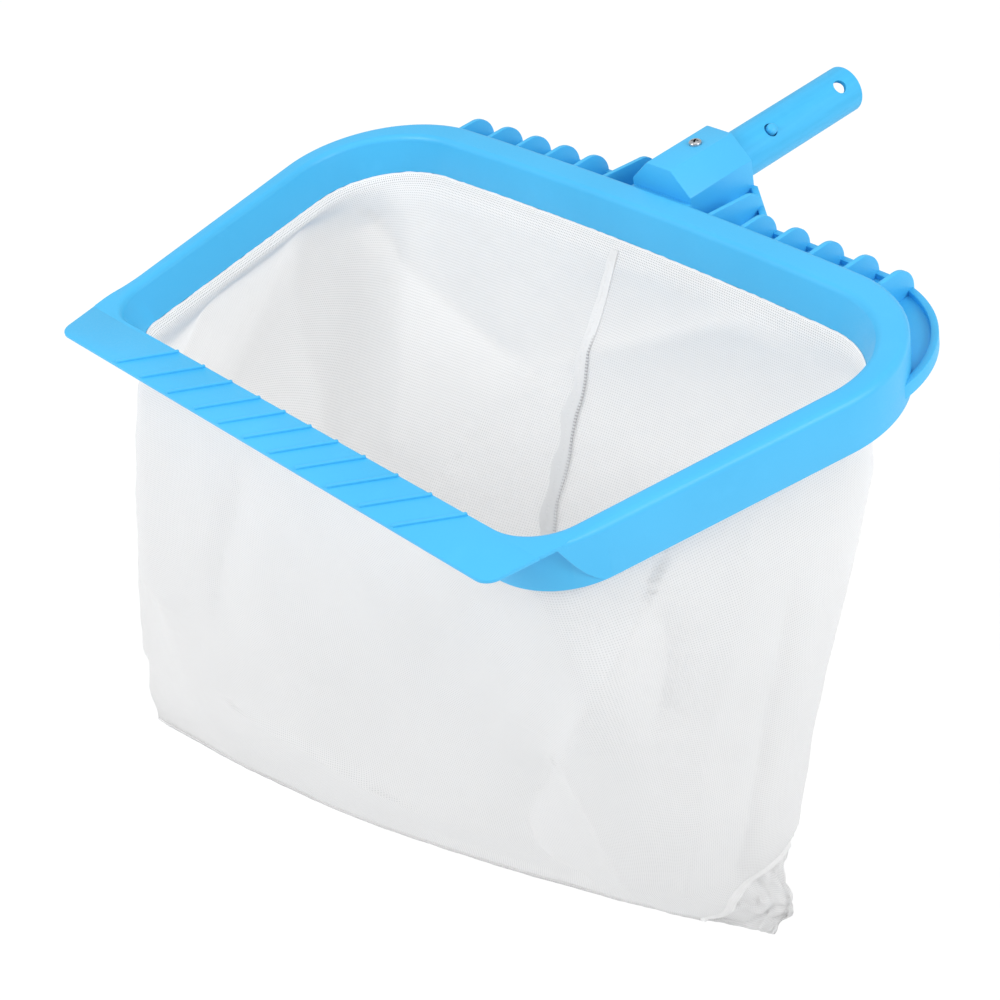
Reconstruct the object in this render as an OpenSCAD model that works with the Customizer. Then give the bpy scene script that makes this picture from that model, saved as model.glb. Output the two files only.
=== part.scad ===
// Leaf skimmer net for a pool: a moulded frame with a ribbed lip and a handle socket, a mesh bag held
// by a clamp ring, and a plug-in handle tube with a sprung V-clip for a telescopic pole.
// Millimetres, +Z up. Sizes are given from the lip's front edge (y = 0) and the crest's top (z = 0);
// place() then moves everything so that the origin lies on the handle's axis, level with the clip's buttons.

/* [Frame] */
// Width of the lip along its front edge
lip_w = 360; // [320:5:400]
// Angle by which each side wall opens out toward the rear
side_flare = 12.2; // [10.4:0.2:13]
// Angle by which each side of the mouth opens out toward the rear
inner_flare = 11; // [9:0.5:11.5]
// Depth from the lip's front edge to the rear wall, on the centre line
frame_d = 285; // [260:5:310]
// Radius of the rear wall's long bow
rear_bow_r = 2200; // [1800:50:3000]
// Outer radius of the rear corners
rear_corner_r = 78; // [70:1:82]
// Radius of the mouth's rear corners
mouth_corner_r = 52.5; // [44:0.5:54]
// Outer radius of the skirt's front corners
front_corner_r = 43; // [38:1:48]
// Radius of the crest's inner edge in the front corners
mouth_front_r = 32; // [28:1:36]
// Height of the outer skirt
skirt_h = 30; // [29:0.5:34]
// Thickness of the moulded walls
wall = 2.4; // [2:0.1:2.6]
// Radius of the crest's outer shoulder
crest_r = 4; // [3:0.5:4.5]
// Radius of the crest's inner shoulder
shoulder_r = 4; // [3:0.5:4.5]
// Width of the crest along the sides
side_crest_w = 10; // [9.5:0.5:12]
// Width of the crest along the rear
rear_crest_w = 19; // [16:0.5:22]
// Depth of the mouth's edge below the crest
mouth_drop = 22; // [20:0.5:24]
// How far the inner wall leans in on its way down to the mouth
inner_lean = 5.5; // [4:0.5:7]

/* [Lip] */
// Depth of the lip, from its front edge to the mouth
lip_d = 28.5; // [28:0.5:30]
// Thickness of the lip
lip_t = 2; // [1.8:0.1:2.4]
// Setback of the skirt under the lip
lip_setback = 26; // [24:0.5:26]
// Radius of the lip's front corners
lip_corner_r = 9; // [5:0.5:11]
// Height of the lip's ribs
rib_h = 0.8; // [0.5:0.1:1.2]
// Width of the lip's ribs
rib_w = 2.6; // [2:0.1:3.4]
// Slant of the ribs from front to back
rib_slant = 32; // [20:1:40]
// Spacing of the five middle ribs
rib_pitch_mid = 21.8; // [20:0.2:23]
// Spacing of the outer ribs
rib_pitch_end = 25; // [23:0.2:27]

/* [Rear flange] */
// Reach of the flange behind the rear wall
flange_d = 27; // [24:1:30]
// Radius of the flange's rounded ends
flange_corner_r = 69.5; // [64:0.5:72]
// Setback of the flange's ends from the side walls
flange_side = 6; // [5:0.5:10]
// Level of the flange's web below the crest
flange_z = 21; // [19:0.5:23]
// Thickness of the flange's web
flange_t = 3; // [2.4:0.2:4]
// Height of the rail above the web
rail_h = 3; // [2:0.5:4]
// Width of the rail along the flange's edge
rail_w = 4; // [3:0.5:5]
// Distance of the first short fin from the centre line
fin_first = 66; // [64:1:70]
// Spacing of the fins
fin_pitch = 24.5; // [22:0.5:25]
// Thickness of the fins
fin_t = 3; // [2.4:0.2:4]
// Radius of the fins' rounded ends
fin_r = 13.5; // [12:0.5:14]

/* [Handle] */
// Outer diameter of the handle tube
tube_d = 28.5; // [28:0.1:29]
// Wall of the handle tube
tube_wall = 2.6; // [2.2:0.1:3]
// Length of the handle tube that stands out of the socket
tube_out = 104.5; // [96:0.5:120]
// Depth of the tube's seat in the socket
tube_seat = 45; // [40:1:46]
// Radial clearance of the tube in its socket
tube_gap = 0.12; // [0.1:0.01:0.2]
// Height of the shoulder at which the tube stops against the socket
tube_step = 0.4; // [0.3:0.1:0.6]
// Level of the handle's axis below the crest
axis_drop = 11.5; // [10:0.5:13]
// Width of the octagonal socket across its flats
socket_af = 45.6; // [44:0.2:48]
// Length of the octagonal socket
socket_l = 50; // [48:1:56]
// Gap between the rear wall and the socket's front face
socket_step = 6.5; // [5:0.5:8]
// Distance of the clamping screw from the socket's rear face
screw_back = 20; // [16:1:24]
// Diameter of the clamping screw's shank
screw_d = 3.6; // [3.4:0.1:4]
// Diameter of the clamping screw's head
screw_head_d = 7.4; // [7:0.1:8]

/* [Clip] */
// Turn of the clip's buttons about the handle's axis, from straight up
clip_turn = 43; // [30:1:60]
// Distance of the button hole from the socket's rear face
button_out = 30.8; // [28:0.2:34]
// Distance of the end hole from the button hole
hole_pitch = 60; // [56:1:62]
// Diameter of the holes through the tube
hole_d = 8.4; // [8:0.1:9]
// Diameter of the buttons
button_d = 6.6; // [6.2:0.1:7]
// How far the buttons stand out of the tube
button_proud = 3; // [2.4:0.1:3.4]
// Thickness of the clip's arms
clip_t = 1.6; // [1.4:0.1:1.8]
// Width of the clip's arms
clip_w = 8; // [7:0.2:8.4]

/* [Bag] */
// Thickness of the bag's cloth, with its weave
cloth_t = 0.8; // [0.6:0.1:1]
// Depth of the bag below the clamp ring
bag_depth = 278; // [240:2:300]
// Length of the bag's bottom fold
bag_bottom_l = 440; // [400:5:450]
// Width of the bag across its bottom
bag_bottom_w = 24; // [16:2:40]
// Turn of the bottom fold as the bag hangs
bag_twist = 17; // [0:1:20]
// Share by which the bag's sides belly out
bag_belly = 0.09; // [0:0.01:0.12]
// Width of the seam flap inside the bag's rear
seam_w = 9; // [7:0.5:12]
// Diameter of the cord in the bag's hem
cord_d = 2; // [1.6:0.1:2]

/* [Clamp ring] */
// Thickness of the ring under the frame that holds the hem
ring_t = 4; // [3:0.5:5]
// Room for the hem between the ring and the inner wall
hem_gap = 1.2; // [1.1:0.1:1.4]
// Clearance between the ring and the skirt
ring_gap = 0.5; // [0.4:0.1:0.8]
// Diameter of the ring screws' shanks
ring_screw_d = 2.5; // [2.2:0.1:2.8]
// Diameter of the ring screws' heads
ring_head_d = 5; // [4:0.2:5]
// Length of the ring screws under their heads
ring_screw_l = 14; // [12:1:16]

/* [Hidden] */
$fn = 64;

BLUE = [0.30, 0.72, 1.0];
MESH = [0.93, 0.94, 0.95];
STEEL = [0.75, 0.76, 0.78];

// Stations along each half of a loop: front corner, side, rear corner and rear wall
FRONT_ARC_N = 8;
SIDE_AT = [0.1, 0.35, 0.6, 0.8];
REAR_ARC_N = 14;
REAR_N = 5;

// Clearance between pieces that lie against each other
seat_gap = 0.3;
// Small overlap that joins solids of one moulding, and the depth at which one lies under another's skin
weld = 1.5;
skin = 0.1;

tube_r = tube_d / 2;
bore_r = tube_r - tube_wall;
seat_r = tube_r - tube_step;
socket_front_y = frame_d + socket_step;
socket_rear_y = socket_front_y + socket_l;
socket_top_z = socket_af / 2 - axis_drop;
button_y = socket_rear_y + button_out;
tube_end_y = socket_rear_y + tube_out;
mouth_side = side_crest_w + inner_lean;
mouth_rear = rear_crest_w + inner_lean - 1;
mouth_front_y = lip_d + inner_lean + 4;
ring_top_z = -mouth_drop - hem_gap;
ring_bottom_z = ring_top_z - ring_t;

module place() {
    translate([0, -button_y, axis_drop]) children();
}

function unit(v) = v / norm(v);
function mix(a, b, t) = a + (b - a) * t;
function on_side(inset, y, flare = side_flare) = lip_w / 2 - inset / cos(flare) + y * tan(flare);
function rear_y(inset, x) = frame_d - inset - x * x / (2 * rear_bow_r);

// Level where a side line inset from the wall would cross the bowed rear line
function corner_y(side, rear, flare) =
    let (x0 = on_side(side, 0, flare), k = tan(flare), d = 2 * rear_bow_r,
         b = 2 * x0 * k + d, c = x0 * x0 - d * (frame_d - rear))
    (sqrt(b * b - 4 * k * k * c) - b) / (2 * k * k);

// Right half of a loop round the mouth, from the front's middle to the rear's middle. A loop is
// [side inset, rear inset, front y, rear corner radius, front corner radius, flare of its sides].
function half_loop(s) =
    let (dir = [sin(s[5]), cos(s[5])],
         cy = corner_y(s[0], s[1], s[5]), corner = [on_side(s[0], cy, s[5]), cy],
         along = unit([-1, corner.x / rear_bow_r]),
         turn = acos(-dir * along), reach = s[3] / tan(turn / 2),
         arc_start = corner - reach * dir, arc_end = corner + reach * along,
         hub = corner + unit(along - dir) * s[3] / sin(turn / 2),
         a0 = -s[5], a1 = atan2(arc_end.y - hub.y, arc_end.x - hub.x),
         front = [on_side(s[0], s[2], s[5]), s[2]], back_off = s[4] / tan(45 + s[5] / 2),
         front_hub = front + [-back_off, s[4]], front_end = front + back_off * dir,
         lift = arc_end.y - rear_y(s[1], arc_end.x))
    concat([[0, s[2]]],
        [for (i = [0 : FRONT_ARC_N])
            let (a = mix(-90, -s[5], i / FRONT_ARC_N)) front_hub + s[4] * [cos(a), sin(a)]],
        [for (t = SIDE_AT) mix(front_end, arc_start, t)],
        [for (i = [0 : REAR_ARC_N]) let (a = mix(a0, a1, i / REAR_ARC_N)) hub + s[3] * [cos(a), sin(a)]],
        [for (i = [1 : REAR_N])
            let (t = 1 - i / REAR_N, x = arc_end.x * t) [x, rear_y(s[1], x) + lift * t * t]]);

// Share of the front at each station of a half: 1 along the lip, 0 from the side wall on
function half_front() =
    concat([1], [for (i = [0 : FRONT_ARC_N]) 1 - i / FRONT_ARC_N], [for (t = SIDE_AT) 0],
           [for (i = [0 : REAR_ARC_N]) 0], [for (i = [1 : REAR_N]) 0]);

function mirrored(h) = [for (i = [len(h) - 2 : -1 : 1]) h[i]];
function loop2(s) = let (h = half_loop(s)) concat(h, [for (p = mirrored(h)) [-p.x, p.y]]);
FRONT_SHARE = let (h = half_front()) concat(h, mirrored(h));
LAST = len(half_front()) - 1;

// A loop in space: its level is z along the sides and rear, and zf along the front
function loop3(s, z, zf) =
    let (p = loop2(s)) [for (i = [0 : len(p) - 1]) [p[i].x, p[i].y, mix(z, zf, FRONT_SHARE[i])]];

// A loop that follows s at level z, but sf at level zf from corner to corner along the front
function lip_loop3(s, z, sf, zf) =
    let (p = loop2(s), q = loop2(sf), n = len(p), c = FRONT_ARC_N + 1)
    [for (i = [0 : n - 1]) i <= c || i >= n - c ? [q[i].x, q[i].y, zf] : [p[i].x, p[i].y, z]];

// Triangles of the band between loops first and first + 1 of n points
function band(n, first, last) = [for (i = [0 : n - 1], h = [0, 1])
    let (a = first * n + i, b = first * n + (i + 1) % n, c = last * n + (i + 1) % n, d = last * n + i)
    h == 0 ? [a, c, b] : [a, d, c]];

// Closed band through a list of loops, each joined to the next and the last to the first
module ring_of(loops) {
    m = len(loops);
    polyhedron(points = [for (l = loops) each l],
               faces = [for (j = [0 : m - 1]) each band(len(loops[0]), j, (j + 1) % m)]);
}

// Outlines of the moulding, all in the form that half_loop takes
function outer_loop(inset) =
    [inset, inset, lip_setback + inset, rear_corner_r - inset, front_corner_r - inset, side_flare];
function inner_loop(side, rear, front, front_r) =
    [side, rear, front, mouth_corner_r + (mouth_side + mouth_rear - side - rear) / 2, front_r, inner_flare];

MOUTH_R = 20;
LIP_ROOT_R = 2;
lip_shoulder = (lip_d - lip_setback) * 0.35;
roof_z = -lip_t - 0.6;
front_roof_z = -10;

// The channel-shaped rim round the mouth: skirt, crest, leaning inner wall and the groove between them
module rim() {
    outer = [for (a = [0 : 22.5 : 90])
        let (o = crest_r * (1 - cos(a)))
        lip_loop3([o, o, lip_setback, rear_corner_r - o, LIP_ROOT_R, side_flare], -crest_r * (1 - sin(a)),
                  [0, 0, lip_setback, rear_corner_r, LIP_ROOT_R, side_flare], -(lip_t - 0.4) * (1 - a / 90))];
    inner = [for (a = [90 : -22.5 : 0])
        let (o = side_crest_w - shoulder_r * (1 - cos(a)), r = rear_crest_w - shoulder_r * (1 - cos(a)),
             z = -shoulder_r * (1 - sin(a)))
        loop3(inner_loop(o, r, lip_d - lip_shoulder * (1 - cos(a)), mouth_front_r + o - side_crest_w), z, z)];
    back_y = mix(lip_d, mouth_front_y, -front_roof_z / mouth_drop) - wall;
    inside_y = lip_setback + wall;
    inside_r = rear_corner_r - wall;
    inside = [wall, wall, inside_y, inside_r, front_corner_r - 4, side_flare];
    ring_of(concat(
        [loop3(outer_loop(0), -skirt_h, -skirt_h), loop3(outer_loop(0), -crest_r - 0.6, -crest_r - 0.6)],
        outer, inner,
        [loop3(inner_loop(mouth_side, mouth_rear, mouth_front_y, MOUTH_R), -mouth_drop, -mouth_drop),
         loop3(inner_loop(mouth_side - wall, mouth_rear - wall, mouth_front_y - wall, MOUTH_R),
               -mouth_drop, -mouth_drop),
         loop3(inner_loop(side_crest_w - 1.8, rear_crest_w - 1.8, back_y, 18.9), roof_z - 2.7, front_roof_z - 0.3),
         loop3(inner_loop(side_crest_w - 2.6, rear_crest_w - 3.2, back_y - 0.3, 19), roof_z, front_roof_z),
         loop3([wall + 1.6, wall + 1.6, inside_y + 0.4, inside_r - 1.6, front_corner_r - 4.6, side_flare],
               roof_z, front_roof_z),
         loop3(inside, roof_z - 2.7, front_roof_z - 0.3),
         loop3(inside, -skirt_h, -skirt_h)]));
}

function arc(c, r, a0, a1, n) = [for (i = [0 : n]) let (a = mix(a0, a1, i / n)) c + r * [cos(a), sin(a)]];
function flip_x(p) = [for (i = [len(p) - 1 : -1 : 0]) [-p[i].x, p[i].y]];

// Where the lip's sharp side edge ends and the crest's round shoulder begins
lip_side_y = lip_setback + 11;
cheek_foot_y = lip_setback + front_corner_r * 0.71;

module lip() {
    reach = lip_corner_r / tan(45 + side_flare / 2);
    hub = [on_side(0, 0) - reach, lip_corner_r];
    rear = lip_setback + 1;
    edge = concat(arc(hub, lip_corner_r, -90, -side_flare, 6), [[on_side(skin / 2, rear), rear]]);
    translate([0, 0, -lip_t]) linear_extrude(lip_t - skin / 2) polygon(concat(edge, flip_x(edge)));
    for (side = [-1, 1]) scale([side, 1, 1]) cheek();
}

// Wing of the side wall that carries the lip's side edge down to the skirt, in the side wall's own plane
module cheek() {
    top = [lip_side_y, -1.4];
    foot = [cheek_foot_y, -skirt_h + seat_gap];
    hollow = [for (i = [0 : 6])
        let (t = i / 6) [mix(top.x, foot.x, t * (0.75 + 0.25 * t * t * t)), mix(top.y, foot.y, t)]];
    translate([lip_w / 2, 0, 0]) rotate([0, 0, -side_flare]) rotate([90, 0, 90])
        translate([0, 0, seat_gap - wall]) linear_extrude(wall - seat_gap - 2 * skin)
            polygon(concat(hollow, [[foot.x + 5.3, foot.y], [foot.x + 5.3, -crest_r - weld], [top.x + 14, -3.2]]));
}

rib_places = [for (i = [-5 : 5])
    sign(i) * (min(abs(i), 2) * rib_pitch_mid + max(abs(i) - 2, 0) * rib_pitch_end)];

module lip_ribs() {
    front = 4 + rib_w / 2;
    rear = lip_d - rib_w / 2 - 0.6;
    length = (rear - front) / cos(rib_slant);
    for (x = rib_places) translate([x + front * tan(rib_slant), front, -lip_t / 2]) rotate([0, 0, -rib_slant])
        linear_extrude(lip_t / 2 + rib_h) {
            translate([-rib_w / 2, 0]) square([rib_w, length]);
            circle(d = rib_w, $fn = 24);
            translate([0, length]) circle(d = rib_w, $fn = 24);
        }
}

apron_w = socket_af / 2 + 2.4;
apron_y = socket_rear_y;
apron_root_x = fin_first - 4;

// Outline of the rear flange, inset from its own edge
module flange_outline(inset) {
    translate([0, flange_d]) polygon(loop2([flange_side + inset, inset, lip_setback, flange_corner_r - inset,
                                            front_corner_r, side_flare]));
    root_y = frame_d + flange_d - inset - 2;
    polygon([[-apron_root_x + inset, root_y - rear_crest_w], [-apron_root_x + inset / 2, root_y],
             [-apron_w + inset, apron_y - inset], [apron_w - inset, apron_y - inset],
             [apron_root_x - inset / 2, root_y], [apron_root_x - inset, root_y - rear_crest_w]]);
}

module rear_flange() {
    module behind_wall(inset) {
        difference() {
            flange_outline(inset);
            polygon(loop2(outer_loop(wall / 2)));
            translate([-lip_w, -frame_d]) square([2 * lip_w, 2 * frame_d - flange_corner_r - wall]);
        }
    }
    translate([0, 0, -flange_z - flange_t]) linear_extrude(flange_t) behind_wall(0);
    translate([0, 0, -flange_z - flange_t - 2]) linear_extrude(flange_t + rail_h + 2) difference() {
        behind_wall(0);
        flange_outline(rail_w);
    }
}

// Profile of a fin: from the wall along its crown and round the end down to the flange's rail
function fin_profile(length, crown, end_r) =
    concat([[-wall / 2, -flange_z - 1], [-wall / 2, -crown]],
           arc([length - end_r, -crown - end_r + (length > 30 ? -3 : 0)], end_r, 90, 0, 10),
           [[length, -flange_z - 1]]);

function wall_y(x) =
    let (h = half_loop(outer_loop(0)),
         i = max([for (k = [0 : len(h) - 2]) h[k].x >= x && h[k].y > frame_d / 2 ? k : 0]))
    mix(h[i].y, h[i + 1].y, (h[i].x - x) / (h[i].x - h[i + 1].x));

module fins() {
    crown = 3.8;
    long_x = fin_first - fin_pitch;
    for (i = [0 : 4], side = [-1, 1]) {
        x = fin_first + i * fin_pitch;
        translate([side * x - fin_t / 2, wall_y(x), 0]) rotate([90, 0, 90])
            linear_extrude(fin_t) polygon(fin_profile(flange_d - 0.5, crown, fin_r));
    }
    apron_edge = mix(apron_y, frame_d + flange_d - 2, (long_x - apron_w) / (apron_root_x - apron_w));
    for (side = [-1, 1]) translate([side * long_x - fin_t / 2, wall_y(long_x), 0]) rotate([90, 0, 90])
        linear_extrude(fin_t) polygon(fin_profile(apron_edge - wall_y(long_x) - 1, crown - 0.4, fin_r - 2));
}

// Prism along the handle's axis, from y to y + length
module along_handle(y, length) {
    translate([0, y, -axis_drop]) rotate([-90, 0, 0]) linear_extrude(length) children();
}

module octagon(af) {
    rotate(22.5) circle(r = af / 2 / cos(22.5), $fn = 8);
}

module socket() {
    along_handle(socket_front_y, socket_l) octagon(socket_af);
    neck_top = axis_drop - 6;
    along_handle(frame_d - wall, socket_step + wall + weld) intersection() {
        octagon(socket_af);
        translate([-socket_af, -neck_top]) square([2 * socket_af, socket_af]);
    }
}

// Screw bosses in the rim's groove, as [x, y, top]: four at the front, three on each side, four at the rear
boss_r = 1.9;
boss_places = concat(
    [for (t = [-3, -1, 1, 3]) [t * lip_w / 9, lip_setback + wall + ring_head_d / 2 + seat_gap, -12.4]],
    [for (t = [0.28, 0.51, 0.72], side = [-1, 1]) let (y = t * frame_d)
        [side * on_side(side_crest_w / 2 + 1.8, y, inner_flare), y, roof_z + 0.8]],
    [for (t = [-0.66, -0.25, 0.25, 0.66]) let (x = t * lip_w / 2)
        [x, rear_y(rear_crest_w / 2 + 1.5, x), roof_z + 0.8]]);

module bosses() {
    for (p = boss_places) translate([p.x, p.y, ring_top_z]) cylinder(r = boss_r, h = p.z - ring_top_z);
}

module frame() {
    pilot_r = ring_screw_d / 2 + 0.05;
    color(BLUE) place() difference() {
        union() {
            rim();
            lip();
            lip_ribs();
            rear_flange();
            fins();
            socket();
            bosses();
        }
        translate([0, socket_rear_y - tube_seat, -axis_drop]) rotate([-90, 0, 0])
            cylinder(r = seat_r + tube_gap, h = tube_seat + 1);
        translate([0, socket_rear_y - screw_back, -axis_drop]) cylinder(d = screw_d + 0.6, h = socket_af);
        for (p = boss_places) translate([p.x, p.y, ring_top_z - 1])
            cylinder(r = pilot_r, h = ring_screw_l - ring_t + 2.5, $fn = 24);
    }
}

module clamp_ring() {
    edge = wall + ring_gap;
    color(BLUE) place() difference() {
        translate([0, 0, ring_bottom_z]) linear_extrude(ring_t) difference() {
            polygon(loop2(outer_loop(edge)));
            polygon(loop2(mouth_loop(-0.5)));
        }
        for (p = boss_places) translate([p.x, p.y, ring_bottom_z - 1])
            cylinder(d = ring_screw_d + 0.6, h = ring_t + 2, $fn = 24);
    }
}

// Pan-head screw with its head's underside at z = 0 and its shank pointing up
module pan_screw(shank_d, head_d, length) {
    head_h = head_d * 0.34;
    rotate_extrude($fn = 32) polygon(concat(
        [[0, length], [0, -head_h]],
        arc([0, -head_h + head_d], head_d, -90, -90 + asin(0.36), 3),
        [[head_d / 2, -head_h * 0.45], [head_d / 2, 0], [shank_d / 2, 0], [shank_d / 2, length - shank_d * 0.7]]));
}

module ring_screws() {
    color(STEEL) place() for (p = boss_places) translate([p.x, p.y, ring_bottom_z])
        pan_screw(ring_screw_d, ring_head_d, ring_screw_l);
}

// The mouth's outline, grown inward by d
function mouth_loop(d) = inner_loop(mouth_side + d, mouth_rear + d, mouth_front_y + d, MOUTH_R);

// Cord in the hem, in the groove outboard of the inner wall's foot
module hem_cord() {
    z = ring_top_z + cord_d / 2;
    out = wall + cord_d / 2 + seat_gap;
    color(MESH) place() ring_of([for (a = [0 : 45 : 315])
        let (h = z + cord_d / 2 * cos(a)) loop3(mouth_loop(cord_d / 2 * sin(a) - out), h, h)]);
}

// Handle tube with the clip's button holes and the end hole, each through both walls
module handle_tube() {
    seat_y = socket_rear_y - tube_seat + seat_gap;
    color(BLUE) place() difference() {
        union() {
            translate([0, seat_y, -axis_drop]) rotate([-90, 0, 0]) cylinder(r = seat_r, h = tube_seat);
            translate([0, socket_rear_y, -axis_drop]) rotate([-90, 0, 0]) cylinder(r = tube_r, h = tube_out);
        }
        translate([0, seat_y - 1, -axis_drop]) rotate([-90, 0, 0]) cylinder(r = bore_r, h = tube_end_y - seat_y + 2);
        for (y = [button_y, button_y + hole_pitch]) translate([0, y, -axis_drop]) rotate([0, clip_turn, 0])
            cylinder(d = hole_d, h = tube_d + 4, center = true);
        translate([0, socket_rear_y - screw_back, -axis_drop]) cylinder(d = screw_d + 0.2, h = tube_r + 1);
    }
}

module socket_screw() {
    color(STEEL) place() translate([0, socket_rear_y - screw_back, socket_top_z]) rotate([180, 0, 0])
        pan_screw(screw_d, screw_head_d, 14);
}

// The V-clip: two arms with buttons on a sprung bend, drawn in the plane of the tube's axis (x) and the
// buttons' axis (y), with the buttons at x = 0
pivot_x = 26;
pivot_y = 5.4;
arm_out = bore_r - 1.15;
arm_tip = -7;
button_shift = 0.5;

module in_clip_plane(width) {
    translate([0, button_y, -axis_drop]) rotate([0, clip_turn, 0]) rotate([90, 0, 90])
        translate([0, 0, -width / 2]) linear_extrude(width) children();
}

module clip_arm() {
    root_r = clip_t / 2 + 0.1;
    in_clip_plane(clip_w) {
        polygon([[arm_tip, arm_out - clip_t], [arm_tip, arm_out], [4.5, arm_out],
                 [pivot_x, pivot_y + root_r], [pivot_x, pivot_y - root_r], [4, arm_out - clip_t]]);
        translate([pivot_x, pivot_y]) circle(r = root_r, $fn = 24);
    }
    top = tube_r + button_proud;
    translate([0, button_y, -axis_drop]) rotate([0, clip_turn, 0]) translate([0, button_shift, arm_out - 0.4])
        rotate_extrude($fn = 48) button_profile(top - arm_out + 0.4);
}

// Half section of a button: straight up to its dome
module button_profile(height) {
    r = button_d / 2;
    dome = 2.2;
    polygon(concat([[0, 0], [r, 0]],
        [for (a = [0 : 15 : 90]) [r * cos(a), height - dome + dome * sin(a)]]));
}

module clip_arm_upper() {
    color(BLUE) place() clip_arm();
}

module clip_arm_lower() {
    color(BLUE) place() translate([0, 0, -axis_drop]) rotate([0, 180, 0]) translate([0, 0, axis_drop]) clip_arm();
}

module clip_bend() {
    root_r = clip_t / 2 + 0.1;
    from = pivot_x + root_r + 0.25;
    mid_r = pivot_y;
    color(BLUE) place() in_clip_plane(clip_w) {
        difference() {
            translate([from, -mid_r - clip_t / 2]) square([3, 2 * mid_r + clip_t]);
            translate([from - 1, -mid_r + clip_t / 2]) square([5, 2 * mid_r - clip_t]);
        }
        translate([from + 3, 0]) difference() {
            circle(r = mid_r + clip_t / 2);
            circle(r = mid_r - clip_t / 2);
            translate([-20, -20]) square([20, 40]);
        }
    }
}

// The bag: a tube of mesh that hangs from the mouth, bellies out at its sides as it flattens, and closes on a
// slanting fold at its bottom. It leans toward the lip, as a bag does when the frame is carried nose up.
bag_mid_y = frame_d * 0.54;
fold_mid = [8, frame_d * 0.13];
fold_sag = 14;
collar_z = ring_bottom_z - 1;
BAG_LEVELS = [0, 0.05, 0.14, 0.25, 0.37, 0.5, 0.63, 0.75, 0.86, 0.94, 1];

// Point of the bag's surface at share t of its depth, below a station m of the mouth and d inside the cloth
function bag_point(m, t, d) =
    let (f = atan2((m.y - bag_mid_y) / (frame_d * 0.46), m.x / (lip_w * 0.55)),
         fold_x = (bag_bottom_l / 2 - d) * cos(f), fold_y = (bag_bottom_w / 2 - d) * sin(f),
         x = mix(m.x, fold_x, pow(t, 0.7)) * (1 + 4 * bag_belly * t * (1 - t)),
         y = mix(m.y - bag_mid_y, fold_y, pow(t, 1.3)), turn = bag_twist * t,
         drop = bag_depth - d - fold_sag * pow(2 * fold_x / bag_bottom_l, 2))
    [x * cos(turn) - y * sin(turn) + fold_mid.x * t,
     x * sin(turn) + y * cos(turn) + mix(bag_mid_y, fold_mid.y, t), collar_z - t * drop];

function bag_loop(t, d) = [for (m = loop2(mouth_loop(d - 0.1))) bag_point(m, t, d)];

// Triangles that close a loop at the bag's bottom, front to rear on each half
function closing(first, n, flip) =
    let (half = n / 2)
    [for (side = [0, 1], i = [0 : floor(half / 2) - 1], h = [0, 1])
        let (k = [i, i + 1, half - i - 1, half - i],
             q = [for (v = k) first + (side == 0 ? v : (n - v) % n)],
             t = h == 0 ? [q[0], q[1], q[2]] : [q[0], q[2], q[3]])
        (side == 0) == flip ? t : [t[2], t[1], t[0]]];

module net_bag() {
    hem_low = ring_top_z + 0.2;
    hem_high = hem_low + cloth_t;
    function level_loop(d, z) = [for (m = loop2(mouth_loop(d))) [m.x, m.y, z]];
    outer = [for (i = [len(BAG_LEVELS) - 1 : -1 : 0]) bag_loop(BAG_LEVELS[i], 0)];
    inner = [for (t = BAG_LEVELS) bag_loop(t, cloth_t)];
    loops = concat(outer,
        [level_loop(-0.1, hem_low), level_loop(-wall - 0.2, hem_low), level_loop(-wall - 0.2, hem_high),
         level_loop(cloth_t - 0.1, hem_high)], inner);
    n = len(loops[0]);
    m = len(loops);
    color(MESH) place() polyhedron(points = [for (l = loops) each l],
        faces = concat(closing(0, n, true), [for (j = [0 : m - 2]) each band(n, j, j + 1)],
                       closing((m - 1) * n, n, false)));
}

// Closed strip through a list of four-cornered sections
module strip(sections) {
    m = len(sections);
    polyhedron(points = [for (q = sections) each q],
        faces = concat([[0, 1, 2], [0, 2, 3]],
            [for (j = [0 : m - 2], i = [0 : 3], h = [0, 1])
                let (a = 4 * j + i, b = 4 * j + (i + 1) % 4, c = b + 4, d = a + 4) h == 0 ? [a, c, b] : [a, d, c]],
            [[4 * m - 4, 4 * m - 2, 4 * m - 3], [4 * m - 4, 4 * m - 1, 4 * m - 2]]));
}

// Flap of the seam down the inside of the bag's rear, along the cloth to each side of its middle station
module rear_seam_flap() {
    mouth = loop2(mouth_loop(cloth_t));
    color(MESH) place() strip([for (t = BAG_LEVELS) if (t > 0 && t < 0.9)
        let (p = bag_point(mouth[LAST], t, cloth_t),
             side = [for (k = [1, -1]) p + unit(bag_point(mouth[LAST + k], t, cloth_t) - p) * seam_w / 2],
             in = [0, -seat_gap, 0], thick = [0, -cloth_t, 0])
        [side[0] + in, side[1] + in, side[1] + in + thick, side[0] + in + thick]]);
}

// Sewn edge under the bag's bottom fold
module bottom_seam() {
    along = [cos(bag_twist), sin(bag_twist)];
    color(MESH) place() strip([for (i = [-8 : 8])
        let (u = i / 8 * bag_bottom_l * 0.49, p = fold_mid + u * along, v = cloth_t * [-along.y, along.x],
             z = collar_z - bag_depth - 0.1 + fold_sag * pow(2 * u / bag_bottom_l, 2))
        [[p.x - v.x, p.y - v.y, z], [p.x + v.x, p.y + v.y, z], [p.x + v.x, p.y + v.y, z - 6],
         [p.x - v.x, p.y - v.y, z - 6]]]);
}

frame();
clamp_ring();
ring_screws();
hem_cord();
net_bag();
rear_seam_flap();
bottom_seam();
handle_tube();
socket_screw();
clip_bend();
clip_arm_upper();
clip_arm_lower();
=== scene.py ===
import math

import bmesh
import bpy
from mathutils import Matrix, Vector, noise


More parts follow.
